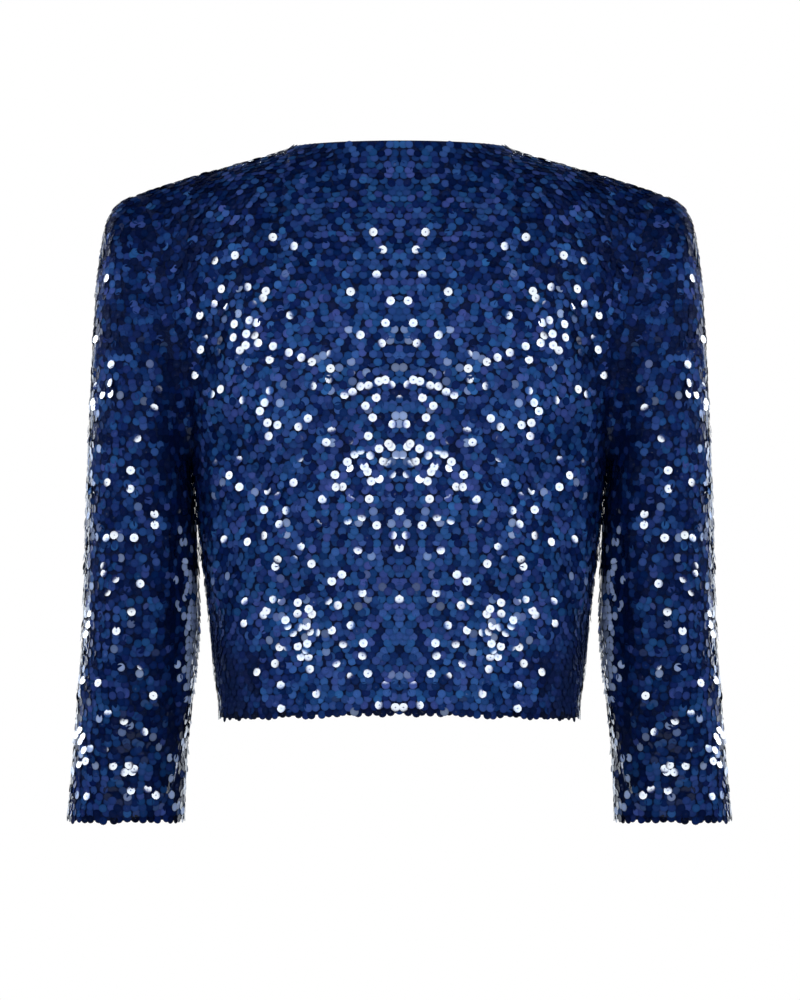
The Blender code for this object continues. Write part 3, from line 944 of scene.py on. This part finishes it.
def sequin_material():
    """Glossy foil under a clear coat, with painted shade darkening each disc towards its rim, painted
    reflections mixed into the foil's colour, and a sewing hole in the middle of each disc.
    """
    material, tree, shader = new_material("navy_sequins")
    numbers = add_node(tree, "ShaderNodeAttribute", attribute_name="shade")
    parts = add_node(tree, "ShaderNodeSeparateColor", {0: numbers.outputs["Color"]})
    bright, tint, painted_sheen = parts.outputs[:3]
    blue = add_ramp(tree, bright, SEQUIN_COLOURS)
    hue = add_ramp(tree, tint, SEQUIN_TINTS)
    # Painted reflections and painted half-glints mix a silvery colour into the blue foil
    foil = add_mix(tree, painted_sheen, add_mix(tree, 1.0, blue, hue, "MULTIPLY"), PAINTED_SHEEN_SILVER)

    disc = add_node(tree, "ShaderNodeUVMap", uv_map="disc")
    reach = add_node(tree, "ShaderNodeVectorMath", {0: disc.outputs[0], 1: (0.5, 0.5, 0.0)},
                     operation="DISTANCE").outputs["Value"]
    # Painted shade towards each disc's rim
    rim = add_range(tree, reach, RIM_START, RIM_END, 1.0, RIM_PAINTED_SHADE)
    colour = add_node(tree, "ShaderNodeVectorMath", {0: foil, "Scale": rim}, operation="SCALE")
    rough = add_range(tree, tint, 0.0, 1.0, LEAST_ROUGH, MOST_ROUGH, "LINEAR")
    hole = add_range(tree, reach, HOLE_START, HOLE_END, 0.0, 1.0)
    dent = add_node(tree, "ShaderNodeBump", {"Height": hole, "Strength": 1.0, "Distance": HOLE_DEPTH})

    tree.links.new(colour.outputs[0], shader.inputs["Base Color"])
    tree.links.new(rough, shader.inputs["Roughness"])
    tree.links.new(dent.outputs["Normal"], shader.inputs["Normal"])
    tree.links.new(dent.outputs["Normal"], shader.inputs["Coat Normal"])
    shader.inputs["Metallic"].default_value = 0.50
    shader.inputs["Specular IOR Level"].default_value = 0.07
    shader.inputs["Coat Weight"].default_value = 1.0
    shader.inputs["Coat IOR"].default_value = 1.45
    shader.inputs["Coat Roughness"].default_value = 0.05
    return material


def cloth_material():
    """Dark matt cloth with a fine net weave."""
    material, tree, shader = new_material("navy_net_cloth")
    place = add_node(tree, "ShaderNodeTexCoord")
    weave = add_node(tree, "ShaderNodeTexVoronoi", {"Vector": place.outputs["Object"], "Scale": WEAVE_SCALE})
    thread = weave.outputs["Distance"]
    bump = add_node(tree, "ShaderNodeBump", {"Height": thread, "Strength": 0.5, "Distance": WEAVE_DEPTH})
    tree.links.new(add_ramp(tree, thread, WEAVE_COLOURS), shader.inputs["Base Color"])
    tree.links.new(bump.outputs["Normal"], shader.inputs["Normal"])
    shader.inputs["Roughness"].default_value = 0.80
    shader.inputs["Specular IOR Level"].default_value = 0.15
    return material


def white_to_the_eye(tree, seen_otherwise, white_kind):
    """A surface that the eye sees as plain white, while reflections and light come from the given shader."""
    white = add_node(tree, white_kind, {"Strength": 1.0})
    white.inputs["Color"].default_value = (1.0, 1.0, 1.0, 1.0)
    ray = add_node(tree, "ShaderNodeLightPath")
    mixed = add_node(tree, "ShaderNodeMixShader", {0: ray.outputs["Is Camera Ray"],
                                                   1: seen_otherwise.outputs[0], 2: white.outputs[0]})
    return mixed.outputs[0]


def floor_material():
    """A pale floor that the eye sees as evenly lit."""
    material, tree, shader = new_material("pale_floor")
    place = add_node(tree, "ShaderNodeTexCoord")
    grain = add_node(tree, "ShaderNodeTexNoise", {"Vector": place.outputs["Object"], "Scale": FLOOR_GRAIN})
    tree.links.new(add_ramp(tree, grain.outputs[0], FLOOR_COLOURS), shader.inputs["Base Color"])
    shader.inputs["Roughness"].default_value = 0.85
    surface = white_to_the_eye(tree, shader, "ShaderNodeEmission")
    tree.links.new(surface, tree.nodes["Material Output"].inputs["Surface"])
    return material


# Room, light and camera


def add_camera():
    data = bpy.data.cameras.new("camera")
    data.sensor_width = SENSOR
    data.lens = SENSOR * CAMERA_DISTANCE / FRAME_HEIGHT
    camera = bpy.data.objects.new("camera", data)
    camera.location = (CAMERA_SIDE, CAMERA_DISTANCE, CAMERA_HEIGHT)
    camera.rotation_euler = (math.radians(90), 0, math.radians(180))
    bpy.context.scene.collection.objects.link(camera)
    bpy.context.scene.camera = camera


def direction(azimuth, elevation):
    """A unit vector; azimuth turns from the camera's side, +Y, towards +X."""
    a, e = math.radians(azimuth), math.radians(elevation)
    return (math.sin(a) * math.cos(e), math.cos(a) * math.cos(e), math.sin(e))


def light_room():
    """A white backdrop for the eye, and a studio of round lights for what the sequins reflect."""
    world = bpy.data.worlds.new("studio")
    bpy.context.scene.world = world
    world.use_nodes = True
    tree = world.node_tree
    tree.nodes.clear()
    place = add_node(tree, "ShaderNodeTexCoord")
    way = place.outputs["Generated"]
    cloud = add_node(tree, "ShaderNodeTexNoise", {"Vector": way, "Scale": CLOUD_SCALE, "Detail": 1.0})
    total = add_range(tree, cloud.outputs[0], CLOUD_START, CLOUD_END, 0.0, CLOUDS)
    for lamp in LAMPS + WIDE_LIGHTS:
        aim = direction(lamp.azimuth, lamp.elevation)
        dot = add_node(tree, "ShaderNodeVectorMath", {0: way, 1: aim}, operation="DOT_PRODUCT")
        outer = math.cos(math.radians(lamp.outer))
        inner = math.cos(math.radians(lamp.inner))
        spot = add_range(tree, dot.outputs["Value"], outer, inner, 0.0, lamp.strength)
        total = add_node(tree, "ShaderNodeMath", {0: total, 1: spot}, operation="ADD").outputs[0]
    studio = add_node(tree, "ShaderNodeBackground", {"Color": STUDIO_TINT, "Strength": total})
    out = add_node(tree, "ShaderNodeOutputWorld")
    tree.links.new(white_to_the_eye(tree, studio, "ShaderNodeBackground"), out.inputs["Surface"])


def add_floor():
    mesh = bpy.data.meshes.new("floor")
    angle = np.arange(FLOOR_SIDES) / FLOOR_SIDES * 2 * math.pi
    ring = np.stack([np.cos(angle), np.sin(angle), np.zeros(FLOOR_SIDES)], axis=1) * FLOOR_RADIUS
    mesh.from_pydata((ring + [0, 0, FLOOR_HEIGHT]).tolist(), [], [tuple(range(FLOOR_SIDES))])
    mesh.materials.append(floor_material())
    floor = add_piece("floor", mesh)


# The jacket


def sew_discs(back, front, sleeve):
    """The sequins of the back's and front's halves at +X and of the left sleeve."""
    rng = np.random.default_rng(SEED)
    on_neck = np.linspace(0, 1, PANEL_COLUMNS) < NECK_SHARE + NECK_MARGIN
    top_gap = np.where(on_neck, NECK_GAP, SEAM_GAP)
    seam_gap = np.where(on_neck, NECK_RUN, SEAM_RUN)
    sleeve_seam_gap = np.full(SLEEVE_SIDES, SEAM_RUN)
    discs = {}
    for kind, *panel in (
        ("back", back, False, -1, 0.0, SIDE_GAP, top_gap, seam_gap),
        ("front", front, False, 1, OPENING_GAP, SIDE_GAP, top_gap, seam_gap),
        ("sleeve", sleeve, True, 1, 0.0, 0.0, SEAM_GAP, sleeve_seam_gap),
    ):
        discs[kind] = sequin_discs(*sew(*panel, rng), kind, rng)
    return discs


def coarser(grid):
    """Fewer rows and columns of a grid for a shell, with its last row and column kept."""
    rows = np.unique(np.append(np.arange(0, len(grid), SHELL_ROWS), len(grid) - 1))
    return grid[rows][:, ::SHELL_COLUMNS]


def build_jacket():
    cloth = cloth_material()
    glitter = sequin_material()
    back = panel_surface(1)
    back[:, 0, 0] = 0.0
    front = panel_surface(-1)
    sleeve = sleeve_surface()
    discs = sew_discs(back, front, sleeve)

    whole_back = np.concatenate([back[:, :0:-1] * FLIP, back], axis=1)
    pieces = (
        ("back", whole_back, False, -1),
        ("front_left", front, False, 1),
        ("front_right", front * FLIP, False, -1),
        ("sleeve_left", sleeve, True, 1),
        ("sleeve_right", sleeve * FLIP, True, -1),
    )
    for node, grid, closed, outward in pieces:
        shell = add_shell(f"{node}_cloth", coarser(grid), closed, outward, cloth)
        kind = node.split("_")[0]
        points, shade = discs[kind]
        if kind == "back":
            mirrored = mirror_discs(points, shade, False)
            points, shade = (np.concatenate(pair) for pair in zip((points, shade), mirrored))
        elif node.endswith("right"):
            points, shade = mirror_discs(points, shade, True)
        sequins = add_sequins(f"{node}_sequins", points, shade, glitter)
        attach(shell, BODY)
        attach(sequins, BODY)
        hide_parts(node)


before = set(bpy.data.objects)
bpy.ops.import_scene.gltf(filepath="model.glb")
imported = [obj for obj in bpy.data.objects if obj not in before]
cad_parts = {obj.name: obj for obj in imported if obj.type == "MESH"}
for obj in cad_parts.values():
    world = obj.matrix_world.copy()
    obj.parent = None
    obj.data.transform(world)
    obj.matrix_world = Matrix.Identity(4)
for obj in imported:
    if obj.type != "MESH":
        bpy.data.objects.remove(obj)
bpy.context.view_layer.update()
add_camera()
light_room()
add_floor()
build_jacket()
bpy.context.scene.view_settings.view_transform = "Standard"
